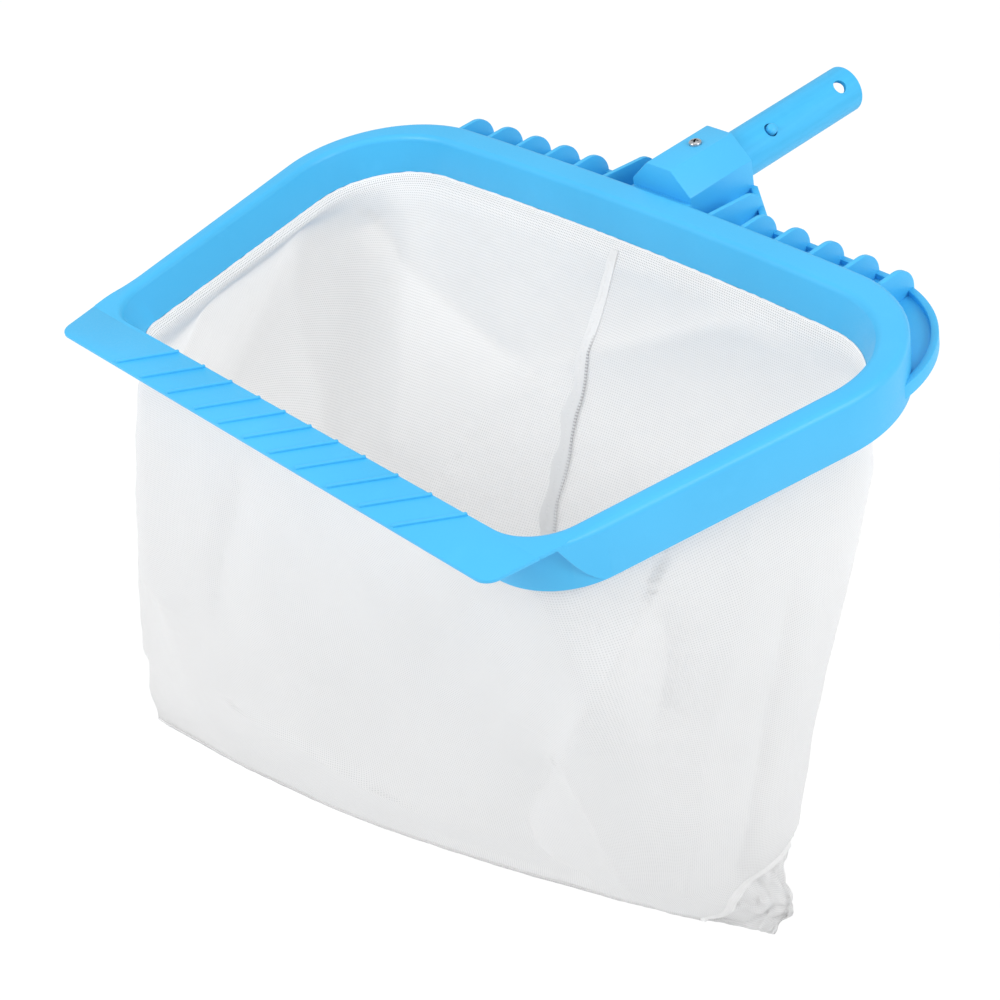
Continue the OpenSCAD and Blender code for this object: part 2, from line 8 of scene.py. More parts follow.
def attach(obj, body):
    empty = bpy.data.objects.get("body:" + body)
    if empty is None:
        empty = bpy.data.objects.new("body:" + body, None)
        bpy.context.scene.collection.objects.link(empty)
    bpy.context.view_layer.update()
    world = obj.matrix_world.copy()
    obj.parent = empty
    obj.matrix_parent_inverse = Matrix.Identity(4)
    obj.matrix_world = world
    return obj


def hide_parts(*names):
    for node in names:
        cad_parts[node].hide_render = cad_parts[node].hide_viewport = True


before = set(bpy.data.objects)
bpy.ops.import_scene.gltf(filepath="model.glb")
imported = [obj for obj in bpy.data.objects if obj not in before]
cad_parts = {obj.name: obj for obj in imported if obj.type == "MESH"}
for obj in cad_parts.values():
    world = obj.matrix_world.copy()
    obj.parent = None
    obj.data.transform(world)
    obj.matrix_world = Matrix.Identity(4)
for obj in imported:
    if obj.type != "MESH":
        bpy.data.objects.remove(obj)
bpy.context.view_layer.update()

MM = 0.001

# The net's own sizes in millimetres, from the lip's front edge (y = 0) and the crest's top (z = 0)
ORIGIN = Vector((0, -372.3, 11.5))
TO_ROW = Matrix.Scale(MM, 4) @ Matrix.Translation(ORIGIN)

# Outline: width of the lip, depth of the frame, the rear wall's bow, how the sides open out, and the corners
LIP_W, FRAME_D, BOW_R = 360, 285, 2200
SIDE_FLARE, MOUTH_FLARE = math.radians(12.2), math.radians(11)
CORNER_R, MOUTH_CORNER_R, SKIRT_FRONT_R, MOUTH_FRONT_R, MOUTH_R = 75, 52.5, 43, 32, 20

# Rim: skirt, walls, crest, the mouth's edge with its distances from the outline, and the roof of the groove
SKIRT_H, WALL, SHOULDER, SIDE_CREST, REAR_CREST, MOUTH_DROP = 30, 2.4, 4, 10, 19, 22
MOUTH_SIDE, MOUTH_REAR, MOUTH_FRONT = 15.5, 23.5, 38
ROOF, FRONT_ROOF = -2.6, -10

# Lip and its ribs
LIP_D, LIP_T, LIP_BACK, LIP_CORNER_R = 28.5, 2, 26, 9
RIB_SLANT, RIB_FRONT, RIB_REAR, RIB_HALF_W, RIB_H = math.radians(40), 1.9, 27, 1.05, 1.25
RIB_PITCH_MID, RIB_PITCH_END, RIB_SHIFT = 21.8, 25, 17

# Rear flange, its rail, its fins and the apron that runs in to the socket
FLANGE_D, FLANGE_R, FLANGE_SIDE, FLANGE_Z, FLANGE_T, RAIL_H, RAIL_W = 27, 75, 5.2, 21, 3, 3, 4
FIN_FIRST, FIN_PITCH, FIN_T, FIN_R = 66, 24.5, 3, 13.5
APRON_END = 17

# Socket, its screw, and the bosses of the ring's screws
AXIS, SOCKET_AF, SOCKET_FRONT, SOCKET_L, SEAT_R, SEAT_L = -11.5, 45.6, 291.5, 50, 13.97, 45
SCREW_Y, SCREW_Z, SCREW_HEAD_R, SCREW_HEAD_H = 321.5, 11.3, 3.7, 2.5
BOSS_R, BOSS_FOOT, FRONT_BOSS_TOP = 1.9, -23.2, -12.4

# Bag: its collar in the groove, its depth, and the length, sag, turn and place of its bottom fold
COLLAR_TOP, COLLAR_MID, COLLAR = -22.6, -25, -28.2
BAG_DEPTH, FOLD_L, FOLD_SAG, TWIST, BELLY = 288.5, 440, 24, math.radians(17), 0.09
BAG_MID_Y, FOLD_MID, SEAM_DROP, LEFT_SAG = FRAME_D * 0.54, (8, FRAME_D * 0.13), 1.2, 4


def mix(a, b, t):
    return a + (b - a) * t


def smooth(a, b, x):
    t = min(max((x - a) / (b - a), 0), 1)
    return t * t * (3 - 2 * t)


def eased(stops, x):
    """Value at x of a curve that eases from stop to stop, each given as (x, value)."""
    for (x0, v0), (x1, v1) in zip(stops, stops[1:]):
        if x <= x1:
            return mix(v0, v1, smooth(x0, x1, x))
    return stops[-1][1]


# ---------------------------------------------------------------- shader helpers


class Wire:
    """A node's output that takes part in Python expressions."""

    def __init__(self, tree, out):
        self.tree, self.out = tree, out

    def math(self, operation, *others):
        return self.tree.add("ShaderNodeMath", {"operation": operation},
                             {i: v for i, v in enumerate((self, *others))})

    def __add__(self, o): return self.math("ADD", o)
    def __sub__(self, o): return self.math("SUBTRACT", o)
    def __mul__(self, o): return self.math("MULTIPLY", o)
    def __rsub__(self, o): return self.tree.add("ShaderNodeMath", {"operation": "SUBTRACT"}, {0: o, 1: self})
    __radd__ = __add__


class Finish:
    """A material, or the world, and the nodes that make it."""

    def __init__(self, name, world=None):
        self.material = world or bpy.data.materials.new(name)
        self.material.use_nodes = True
        self.nodes = self.material.node_tree.nodes
        self.links = self.material.node_tree.links
        self.nodes.clear()
        self.place = None

    def add(self, kind, settings=None, sockets=None, out=0):
        node = self.nodes.new(kind)
        for key, value in (settings or {}).items():
            setattr(node, key, value)
        for key, value in (sockets or {}).items():
            socket = node.inputs[key]
            if isinstance(value, Wire):
                self.links.new(value.out, socket)
            elif hasattr(value, "__len__") and len(value) == 3 and socket.type == "RGBA":
                socket.default_value = (*value, 1)
            else:
                socket.default_value = value
        return Wire(self, node.outputs[out])

    def coords(self):
        if self.place is None:
            self.place = self.add("ShaderNodeTexCoord", out="Object")
        return self.place

    def threads(self):
        """Places across and along the cloth, in metres."""
        return self.split(self.add("ShaderNodeUVMap", {"uv_map": "threads"}))[:2]

    def split(self, vector):
        node = self.nodes.new("ShaderNodeSeparateXYZ")
        self.links.new(vector.out, node.inputs[0])
        return [Wire(self, out) for out in node.outputs]

    def noise(self, scale, detail=3, rough=0.5, where=None):
        return self.add("ShaderNodeTexNoise", {"noise_dimensions": "3D"},
                        {"Vector": where or self.coords(), "Scale": scale,
                         "Detail": detail, "Roughness": rough})

    def between(self, value, low, high, to_low=0.0, to_high=1.0):
        return self.add("ShaderNodeMapRange", {"clamp": True},
                        {0: value, 1: low, 2: high, 3: to_low, 4: to_high})

    def blend(self, factor, a, b, how="MIX"):
        return self.add("ShaderNodeMix", {"data_type": "RGBA", "blend_type": how},
                        {0: factor, 6: a, 7: b}, out=2)

    def bump(self, height, distance, strength=1.0):
        return self.add("ShaderNodeBump", {}, {"Height": height, "Distance": distance, "Strength": strength})

    def surface(self, **sockets):
        named = {key.replace("_", " "): value for key, value in sockets.items()}
        self.shown(self.add("ShaderNodeBsdfPrincipled", {}, named))

    def ray(self, *kinds):
        """1 where the ray is one of the kinds."""
        path = self.nodes.new("ShaderNodeLightPath")
        seen = Wire(self, path.outputs[kinds[0]])
        for kind in kinds[1:]:
            seen = seen.math("MAXIMUM", Wire(self, path.outputs[kind]))
        return seen

    def shown(self, shader, output="ShaderNodeOutputMaterial"):
        self.links.new(shader.out, self.nodes.new(output).inputs["Surface"])


def wave(value, pitch):
    return (value * (2 * math.pi / pitch)).math("SINE")


def moulded_blue(name, low, high, gloss, stretch=None):
    f = Finish(name)
    where = f.add("ShaderNodeMapping", {}, {"Vector": f.coords(), "Scale": stretch}) if stretch else f.coords()
    broad = f.noise(9, 2, 0.5, where)
    fine = f.noise(900, 2)
    scuffs = f.between(f.noise(60, 6, 0.65), 0.56, 0.72)
    colour = f.blend(f.between(broad, 0.35, 0.65), low, high)
    colour = f.blend(scuffs * 0.08, colour, (0.12, 0.62, 1.0))
    f.surface(Base_Color=colour, Roughness=f.between(fine, 0.3, 0.7, gloss, gloss + 0.08) + scuffs * 0.05,
              Normal=f.bump(f.noise(1400, 2), 0.00004, 0.35), IOR=1.46)
    return f.material


def screw_steel():
    f = Finish("screw_steel")
    brushed = f.noise(700, 3, 0.6)
    x, y, z = f.split(f.coords())
    off_y = y - (SCREW_Y + ORIGIN.y) * MM
    from_middle = (x * x + off_y * off_y).math("SQRT")
    head_z = (SCREW_Z + ORIGIN.z) * MM
    # The floor of the cross recess is painted near-black: painted shade in the recess.
    recess = f.between(from_middle, 0.0023, 0.0021) * f.between(z, head_z + 0.0023, head_z + 0.0019)
    colour = f.blend(brushed, (0.42, 0.43, 0.45), (0.58, 0.59, 0.61))
    f.surface(Base_Color=f.blend(recess, colour, (0.03, 0.03, 0.035)), Metallic=1.0,
              Roughness=f.between(brushed, 0.3, 0.7, 0.2, 0.34), Normal=f.bump(brushed, 0.00002, 0.3))
    return f.material


def woven(name, pitch, light, opening_shade, see_through, glow):
    """Net cloth: threads crossing at the given pitch, with openings that let some light through. The openings
    are painted darker than the threads: painted shade of the bag's inside seen through them.
    """
    f = Finish(name)
    across, along = f.threads()
    uneven = f.noise(45, 2) * 0.0004
    threads = wave(across + uneven, pitch).math("MAXIMUM", wave(along + uneven, pitch))
    opening = f.between(threads, 0.25, -0.5)
    worn = f.between(f.noise(14, 3), 0.3, 0.7, 0.965, 1.0)
    # The openings get a darker colour: the weave's own pattern, with painted shade of the inside seen through
    # the holes.
    colour = f.blend(opening, light, opening_shade)
    colour = f.blend(1.0, colour, f.blend(worn, (0, 0, 0), (1, 1, 1)), "MULTIPLY")
    cloth = f.add("ShaderNodeBsdfPrincipled", {},
                  {"Base Color": colour, "Roughness": 0.7, "Specular IOR Level": 0.25,
                   "Alpha": 1.0 - opening * see_through, "Normal": f.bump(threads, 0.00022, 0.45)})
    through = f.add("ShaderNodeBsdfTranslucent", {}, {"Color": light})
    f.shown(f.add("ShaderNodeMixShader", {},
                  {0: f.between(along, 0.004, 0.016, 0.05, glow), 1: cloth, 2: through}))
    return f.material


def seam_tape():
    f = Finish("seam_tape")
    across, along = f.threads()
    stitch = f.between(wave(along, 0.0019), -0.2, 0.5)
    edge = f.between(across, 0.0013, 0.0007)
    row = f.between((across - 0.0042).math("ABSOLUTE"), 0.0006, 0.0003)
    colour = f.blend(f.noise(500, 3), (0.88, 0.883, 0.886), (0.93, 0.932, 0.934))
    colour = f.blend(f.between(along, 0.05, 0.09), colour, (0.8, 0.805, 0.81))
    # The flap's standing edge is painted near-black, dotted by its stitches: partly its dark stitched edge,
    # partly painted shadow of the gap under it.
    edge_stitch_and_gap_shadow = edge * f.between(along, 0.045, 0.06) * f.between(along, 0.11, 0.13, 1, 0.6)
    colour = f.blend(edge_stitch_and_gap_shadow * (0.15 + stitch * 0.6), colour, (0.2, 0.21, 0.23))
    colour = f.blend(row * stitch * 0.25, colour, (0.95, 0.95, 0.95))
    tape = f.add("ShaderNodeBsdfPrincipled", {},
                 {"Base Color": colour, "Roughness": 0.8,
                  "Normal": f.bump(stitch * row + f.noise(900, 3) * 0.5, 0.0003, 0.6)})
    through = f.add("ShaderNodeBsdfTranslucent", {}, {"Color": (0.95, 0.95, 0.95)})
    f.shown(f.add("ShaderNodeMixShader", {}, {0: 0.3, 1: tape, 2: through}))
    return f.material


def studio_floor():
    f = Finish("studio_floor")
    paper = f.noise(40, 4)
    matte = f.add("ShaderNodeBsdfDiffuse", {}, {"Color": f.blend(paper, (0.9, 0.9, 0.9), (0.93, 0.93, 0.93))})
    white = f.add("ShaderNodeEmission", {}, {"Color": (1, 1, 1), "Strength": 1.06})
    seen = f.ray("Is Camera Ray", "Is Glossy Ray", "Is Transmission Ray")
    f.shown(f.add("ShaderNodeMixShader", {}, {0: seen * 0.8, 1: matte, 2: white}))
    return f.material


# ---------------------------------------------------------------- making shapes

ACROSS = Matrix(((0, 0, 1, 0), (1, 0, 0, 0), (0, 1, 0, 0), (0, 0, 0, 1)))
LENGTHWISE = Matrix(((1, 0, 0, 0), (0, 0, 1, 0), (0, 1, 0, 0), (0, 0, 0, 1)))


def circle_of(bm, count, filled):
    made = bmesh.ops.create_circle(bm, segments=count, radius=1, cap_ends=filled)
    return sorted(made["verts"], key=lambda v: math.atan2(v.co.y, v.co.x) % (2 * math.pi))


def loft(rings, closed=False, ends=False):
    """Mesh and its rows, skinned through rings of points, joined last to first or filled at its ends."""
    count = len(rings[0])
    bm = bmesh.new()
    edge = circle_of(bm, count, False)
    rows = []
    for k, ring in enumerate(rings + rings[:1] if closed else rings):
        if k:
            edges = [bm.edges.get((edge[i], edge[(i + 1) % count])) for i in range(count)]
            fresh = set(bmesh.ops.extrude_edge_only(bm, edges=edges)["geom"])
            edge = [next(e.other_vert(v) for e in v.link_edges if e.other_vert(v) in fresh) for v in edge]
        for v, p in zip(edge, ring):
            v.co = p
        rows.append(edge)
    if closed:
        bmesh.ops.remove_doubles(bm, verts=rows[0] + rows[-1], dist=1e-5)
    if ends:
        bmesh.ops.holes_fill(bm, edges=bm.edges, sides=0)
    bmesh.ops.recalc_face_normals(bm, faces=bm.faces)
    return bm, rows


def soften(bm, width, segments):
    edges = [e for e in bm.edges if e.calc_face_angle(0) > 0.8]
    bmesh.ops.bevel(bm, geom=edges, offset=width, offset_type="OFFSET", segments=segments, profile=0.5,
                    affect="EDGES", clamp_overlap=True, material=-1)


def slab(outline, low, high, edge=0.4, turned=None, segments=2):
    """Plate of the given outline between two levels, with softened edges."""
    bm = bmesh.new()
    for v, p in zip(circle_of(bm, len(outline), True), outline):
        v.co = (p[0], p[1], low)
    raised = [v for v in bmesh.ops.extrude_face_region(bm, geom=bm.faces[:])["geom"]
              if isinstance(v, bmesh.types.BMVert)]
    bmesh.ops.translate(bm, verts=raised, vec=(0, 0, high - low))
    bmesh.ops.recalc_face_normals(bm, faces=bm.faces)
    soften(bm, edge, segments)
    if turned:
        bmesh.ops.transform(bm, matrix=turned, verts=bm.verts)
    return bm


def unwrap(bm, rows, widths, lengths):
    """Lays the threads of a lofted cloth: widths round each ring, one more to close it, and lengths down."""
    layer = bm.loops.layers.uv.new("threads")
    place = {v: (i, j) for j, row in enumerate(rows) for i, v in enumerate(row)}
    last = len(rows[0]) - 1
    for face in bm.faces:
        spots = [place[c.vert] for c in face.loops]
        over = {0, last} <= {i for i, _ in spots} and last > 1
        for corner, (i, j) in zip(face.loops, spots):
            corner[layer].uv = (widths[last + 1 if over and i == 0 else i], lengths[j])


def finished(name, parts, finish, slot, *nodes, sharp=35):
    """One piece of the net's body, made of its parts, that stands in for the nodes."""
    mesh = bpy.data.meshes.new(name)
    whole = parts[0]
    for part in parts[1:]:
        part.to_mesh(mesh)
        part.free()
        whole.from_mesh(mesh)
    bmesh.ops.transform(whole, matrix=TO_ROW, verts=whole.verts)
    bmesh.ops.recalc_face_normals(whole, faces=whole.faces)
    whole.to_mesh(mesh)
    whole.free()
    mesh.materials.append(finish)
    mesh.shade_smooth()
    if sharp:
        mesh.set_sharp_from_angle(angle=math.radians(sharp))
    piece = bpy.data.objects.new(name, mesh)
    bpy.context.scene.collection.objects.link(piece)
    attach(piece, "net")
    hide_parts(*nodes)
    return piece


# ---------------------------------------------------------------- outlines round the mouth

FRONT_N, SIDE_N, CORNER_N, REAR_N, SIDE_START = 30, 14, 44, 24, 64
REAR_START = FRONT_N + SIDE_N + 2


def side_x(inset, y, flare):
    return LIP_W / 2 - inset / math.cos(flare) + y * math.tan(flare)


def rear_y(inset, x):
    return FRAME_D - inset - x * x / (2 * BOW_R)


def arc(hub, radius, start, end, count):
    return [Vector(hub) + radius * Vector((math.cos(a), math.sin(a)))
            for a in (mix(start, end, i / count) for i in range(count + 1))]


def half_outline(side, rear, front, rear_r, front_r, flare):
    """Right half of an outline round the mouth, from the lip's middle to the rear's middle."""
    k, w = math.tan(flare), 2 * BOW_R
    x0 = side_x(side, 0, flare)
    b, c = 2 * x0 * k + w, x0 * x0 - w * (FRAME_D - rear)
    cy = (math.sqrt(b * b - 4 * k * k * c) - b) / (2 * k * k)
    way = Vector((math.sin(flare), math.cos(flare)))
    corner = Vector((x0 + cy * k, cy))
    along = Vector((-1, corner.x / BOW_R)).normalized()
    turn = math.acos(-way.dot(along))
    reach = rear_r / math.tan(turn / 2)
    start, end = corner - reach * way, corner + reach * along
    hub = corner + (along - way).normalized() * rear_r / math.sin(turn / 2)
    back_off = front_r / math.tan(math.pi / 4 + flare / 2)
    front_corner = Vector((side_x(side, front, flare), front))
    bend = arc(front_corner + Vector((-back_off, front_r)), front_r, -math.pi / 2, -flare, 12)
    side_end = Vector((side_x(side, SIDE_START, flare), SIDE_START))
    lift = end.y - rear_y(rear, end.x)
    return ([Vector((0, front))] + even(bend + [side_end], FRONT_N)
            + [side_end.lerp(start, i / (SIDE_N + 1)) for i in range(1, SIDE_N + 1)]
            + arc(hub, rear_r, -flare, math.atan2(end.y - hub.y, end.x - hub.x), CORNER_N)
            + [Vector((end.x * t, rear_y(rear, end.x * t) + lift * t * t))
               for t in (1 - i / REAR_N for i in range(1, REAR_N + 1))])


def outer(inset):
    """Sizes of an outline inside the skirt's outer face, for half_outline."""
    return inset, inset, LIP_BACK + inset, CORNER_R - inset, SKIRT_FRONT_R - inset, SIDE_FLARE


def inner(side, rear, front, front_r):
    """Sizes of an outline that follows the mouth, for half_outline."""
    corner_r = MOUTH_CORNER_R + (MOUTH_SIDE + MOUTH_REAR - side - rear) / 2
    return side, rear, front, corner_r, front_r, MOUTH_FLARE


def both_sides(right):
    return right + [(-p[0], *p[1:]) for p in right[-2:0:-1]]


def ring_at(shape, z, front_z=None):
    half = half_outline(*shape)
    front_z = z if front_z is None else front_z
    return both_sides([(*p, mix(z, front_z, min(1, max(0, 1 - (i - 1) / FRONT_N))))
                       for i, p in enumerate(half)])


def roundness(y):
    """How far the side's top edge has turned from the lip's sharp edge into the crest's round shoulder."""
    return smooth(LIP_BACK + 9, LIP_BACK + 36, y)


def shoulder_ring(a):
    """Ring of the crest's outer side at turn a of its shoulder."""
    inset = SHOULDER * (1 - math.cos(a))
    points = []
    for p, q in zip(half_outline(inset, inset, LIP_BACK, CORNER_R - inset, 2, SIDE_FLARE),
                    half_outline(0, 0, LIP_BACK, CORNER_R, 2, SIDE_FLARE)):
        turned = roundness(q.y)
        points.append((*q.lerp(p, turned),
                       -mix((LIP_T - 0.4) * (1 - a * 2 / math.pi), SHOULDER * (1 - math.sin(a)), turned)))
    return both_sides(points)


def even(path, count):
    """Points at equal steps along a path."""
    lengths = [0]
    for a, b in zip(path, path[1:]):
        lengths.append(lengths[-1] + (b - a).length)
    points, j = [], 1
    for i in range(count + 1):
        s = lengths[-1] * i / count
        while j < len(path) - 1 and lengths[j] < s:
            j += 1
        points.append(path[j - 1].lerp(path[j], (s - lengths[j - 1]) / (lengths[j] - lengths[j - 1])))
    return points


def quarter(count=9):
    return [math.pi / 2 * i / count for i in range(count + 1)]


# ---------------------------------------------------------------- frame


def rim_channel():
    """The channel round the mouth: skirt, crest, inner wall and the groove between them."""
    rings = [ring_at(outer(0.5), -SKIRT_H), ring_at(outer(0.12), -SKIRT_H + 0.12),
             ring_at(outer(0), -SKIRT_H + 0.5), ring_at(outer(0), -SHOULDER - 0.6)]
    rings += [shoulder_ring(a) for a in quarter()]
    for a in reversed(quarter()):
        o = SHOULDER * (1 - math.cos(a))
        rings.append(ring_at(inner(SIDE_CREST - o, REAR_CREST - o, LIP_D - (LIP_D - LIP_BACK) * 0.0875 * o,
                                   MOUTH_FRONT_R - o), -SHOULDER * (1 - math.sin(a))))
    back = mix(LIP_D, MOUTH_FRONT, -FRONT_ROOF / MOUTH_DROP) - WALL
    inside = (WALL, WALL, LIP_BACK + WALL, CORNER_R - WALL, SKIRT_FRONT_R - 4, SIDE_FLARE)
    rings += [ring_at(inner(MOUTH_SIDE, MOUTH_REAR, MOUTH_FRONT, MOUTH_R), -MOUTH_DROP + 0.5),
              ring_at(inner(MOUTH_SIDE - 0.12, MOUTH_REAR - 0.12, MOUTH_FRONT - 0.12, MOUTH_R),
                      -MOUTH_DROP + 0.12),
              ring_at(inner(MOUTH_SIDE - 0.5, MOUTH_REAR - 0.5, MOUTH_FRONT - 0.5, MOUTH_R), -MOUTH_DROP),
              ring_at(inner(MOUTH_SIDE - WALL, MOUTH_REAR - WALL, MOUTH_FRONT - WALL, MOUTH_R), -MOUTH_DROP),
              ring_at(inner(SIDE_CREST - 1.8, REAR_CREST - 1.8, back, 18.9), ROOF - 2.7, FRONT_ROOF - 0.3),
              ring_at(inner(SIDE_CREST - 2.6, REAR_CREST - 3.2, back - 0.3, 19), ROOF, FRONT_ROOF),
              ring_at((WALL + 1.6, WALL + 1.6, LIP_BACK + WALL + 0.4, CORNER_R - WALL - 1.6,
                       SKIRT_FRONT_R - 4.6, SIDE_FLARE), ROOF, FRONT_ROOF),
              ring_at(inside, ROOF - 2.7, FRONT_ROOF - 0.3), ring_at(inside, -SKIRT_H)]
    return loft(rings, closed=True)[0]


def lip_plate():
    reach = LIP_CORNER_R / math.tan(math.pi / 4 + SIDE_FLARE / 2)
    edge = arc((side_x(0, 0, SIDE_FLARE) - reach, LIP_CORNER_R), LIP_CORNER_R, -math.pi / 2, -SIDE_FLARE, 14)
    edge.append(Vector((side_x(0.05, LIP_BACK + 1, SIDE_FLARE), LIP_BACK + 1)))
    return slab(edge + [Vector((-p.x, p.y)) for p in reversed(edge)], -LIP_T, -0.004, 0.45)


def lip_ribs():
    reach = RIB_REAR - RIB_FRONT
    outline = (arc((0, reach / math.cos(RIB_SLANT)), RIB_HALF_W, 0, math.pi, 10)
               + arc((0, 0), RIB_HALF_W, math.pi, 2 * math.pi, 10))
    ribs = []
    for i in range(-5, 6):
        x = math.copysign(min(abs(i), 2) * RIB_PITCH_MID + max(abs(i) - 2, 0) * RIB_PITCH_END, i) + RIB_SHIFT
        turned = (Matrix.Translation((x - reach * math.tan(RIB_SLANT), RIB_FRONT, 0))
                  @ Matrix.Rotation(-RIB_SLANT, 4, "Z"))
        ribs.append(slab(outline, -1, RIB_H, 0.45, turned))
    return ribs


def cheek(side):
    """Wing of the side wall that carries the lip's side edge down to the skirt."""
    top, foot = LIP_BACK + 10, (LIP_BACK + SKIRT_FRONT_R * 0.71, -SKIRT_H + 0.3)

    def under_edge(y):
        return -mix(LIP_T - 0.4, SHOULDER, roundness(y * math.cos(SIDE_FLARE))) + 0.45

    hollow = [(mix(top, foot[0], t * (0.75 + 0.25 * t ** 3)), mix(under_edge(top), foot[1], t))
              for t in (i / 16 for i in range(17))]
    outline = hollow + [(foot[0] + 5.3, foot[1])]
    outline += [(top + d, under_edge(top + d)) for d in (30, 26, 22, 18, 14, 9, 4)]
    turned = (Matrix.Scale(side, 4, (1, 0, 0)) @ Matrix.Translation((LIP_W / 2, 0, 0))
              @ Matrix.Rotation(-SIDE_FLARE, 4, "Z") @ ACROSS)
    return slab(outline, 0.3 - WALL, -0.03, 0.3, turned, 1)


def wall_y(x):
    path = half_outline(*outer(0))[REAR_START:]
    a, b = next((a, b) for a, b in zip(path, path[1:]) if a.x >= x >= b.x)
    return mix(a.y, b.y, (a.x - x) / (a.x - b.x))


APRON_W, APRON_Y = SOCKET_AF / 2 + 2.4, SOCKET_FRONT + SOCKET_L
APRON_ROOT = (FIN_FIRST - 4, FRAME_D + FLANGE_D - 2)


def flange_edge():
    """Right edge of the rear flange, from where it leaves the wall to the socket's wall."""
    edge = [p + Vector((0, FLANGE_D)) for p in
            half_outline(FLANGE_SIDE, 0, LIP_BACK, FLANGE_R, SKIRT_FRONT_R, SIDE_FLARE)[REAR_START - 8:]]
    wall = half_outline(*outer(0))[REAR_START - 12:]
    edge = [p for p in edge if p.x > APRON_ROOT[0] - 1]
    clear = next(i for i, p in enumerate(edge) if p.y > 0.5 * FRAME_D and outside(wall, p) > 0)
    a, b = edge[clear - 1], edge[clear]
    start = a.lerp(b, outside(wall, a) / (outside(wall, a) - outside(wall, b)))
    edge = [start + (a - b).normalized() * 1.2, start] + edge[clear:]
    root, tip = edge[-1], Vector((APRON_W, APRON_Y))
    return edge + [root.lerp(tip, i / 6) for i in range(1, 7)] + [Vector((APRON_END, APRON_Y - 0.6))]


def outside(path, p):
    """How far a point lies outside the wall, to the right of the path's nearest stretch."""
    a, b = min(zip(path, path[1:]), key=lambda ab: ((ab[0] + ab[1]) / 2 - p).length)
    way = (b - a).normalized()
    return (p - a).dot(Vector((way.y, -way.x)))


def outward(path):
    """Direction square to a path at each point, to its right as it runs."""
    steps = [(b - a).normalized() for a, b in zip(path, path[1:])]
    turned = [(a + b).normalized() / max(0.5, (a + b).length / 2)
              for a, b in zip([steps[0]] + steps, steps + steps[-1:])]
    return [Vector((d.y, -d.x)) for d in turned]


def rear_flange():
    edge = flange_edge()
    wall = half_outline(*outer(1.2))[REAR_START - 3:]
    wall += [Vector((-p.x, p.y)) for p in wall[-2::-1]]
    low, web, top = -FLANGE_Z - FLANGE_T, -FLANGE_Z, -FLANGE_Z + RAIL_H
    web_rings, rail_rings = [], []
    for p, out in zip(edge, outward(edge)):
        root = min(wall, key=lambda q: (q - p).length)
        if abs(p.x) < APRON_ROOT[0]:
            root = Vector((p.x, rear_y(1.2, p.x)))
        near = p - out * 2
        web_rings.append([(*root, low), (*near, low), (*near, web), (*root, web)])
        back = p - out * RAIL_W
        rail_rings.append([(*q, z) for q, z in (
            (p - out * 0.5, low - 2), (p, low - 1.5), (p, top - 0.6), (p - out * 0.2, top - 0.2),
            (p - out * 0.6, top), (back + out * 0.6, top), (back + out * 0.2, top - 0.2),
            (back, top - 0.6), (back, low - 1.5), (back + out * 0.5, low - 2))])
    return [loft([[(side * x, y, z) for x, y, z in ring] for ring in rings], ends=True)[0]
            for rings in (web_rings, rail_rings) for side in (-1, 1)]


def fins():
    places = [(FIN_FIRST + i * FIN_PITCH, FLANGE_D - 0.5, 3.8, FIN_R) for i in range(5)]
    long_x = FIN_FIRST - FIN_PITCH
    tip = mix(APRON_Y, APRON_ROOT[1], (long_x - APRON_W) / (APRON_ROOT[0] - APRON_W))
    places.append((long_x, tip - wall_y(long_x) - 1, 3.4, FIN_R - 2))
    made = []
    for x, length, crown, end_r in places:
        droop = 3 if length > 30 else 0
        outline = ([(length, -FLANGE_Z - 1)]
                   + arc((length - end_r, -crown - end_r - droop), end_r, 0, math.pi / 2, 14)
                   + [(-WALL / 2, -crown), (-WALL / 2, -FLANGE_Z - 1)])
        made += [slab(outline, -FIN_T / 2, FIN_T / 2, 0.45,
                      Matrix.Translation((side * x, wall_y(x), 0)) @ ACROSS) for side in (-1, 1)]
    return made


def octagon(inset, y, corner_r=1.3):
    reach = (SOCKET_AF / 2 - corner_r) / math.cos(math.pi / 8)
    points = []
    for k in range(8):
        a = math.pi / 4 * (k + 0.5)
        hub = reach * Vector((math.cos(a), math.sin(a)))
        points += arc(hub, corner_r - inset, math.pi / 4 * k, math.pi / 4 * (k + 1), 4)
    return [(p.x, y, AXIS + p.y) for p in points]


def bore(y, radius):
    return [(p.x, y, AXIS + p.y) for k in range(8)
            for p in arc((0, 0), radius, math.pi / 4 * (k + 0.03), math.pi / 4 * (k + 0.97), 4)]


def handle_socket():
    rear = SOCKET_FRONT + SOCKET_L
    rings = [octagon(0.8, SOCKET_FRONT), octagon(0.25, SOCKET_FRONT + 0.2), octagon(0, SOCKET_FRONT + 0.8),
             octagon(0, rear - 0.8), octagon(0.25, rear - 0.2), octagon(0.8, rear), bore(rear, SEAT_R + 0.5),
             bore(rear - 0.5, SEAT_R), bore(rear - SEAT_L, SEAT_R)]
    body = loft(rings, ends=True)[0]
    w, high = SOCKET_AF / 2 - 0.06, -AXIS - 6
    flat = SOCKET_AF / 2 * math.tan(math.pi / 8)
    neck = [(w, high), (-w, high), (-w, -flat), (-flat, -w), (flat, -w), (w, -flat)]
    outline = [(x, z + AXIS) for x, z in neck]
    return [body, slab(outline, FRAME_D - WALL / 2, SOCKET_FRONT + 1.5, 0.5, LENGTHWISE)]


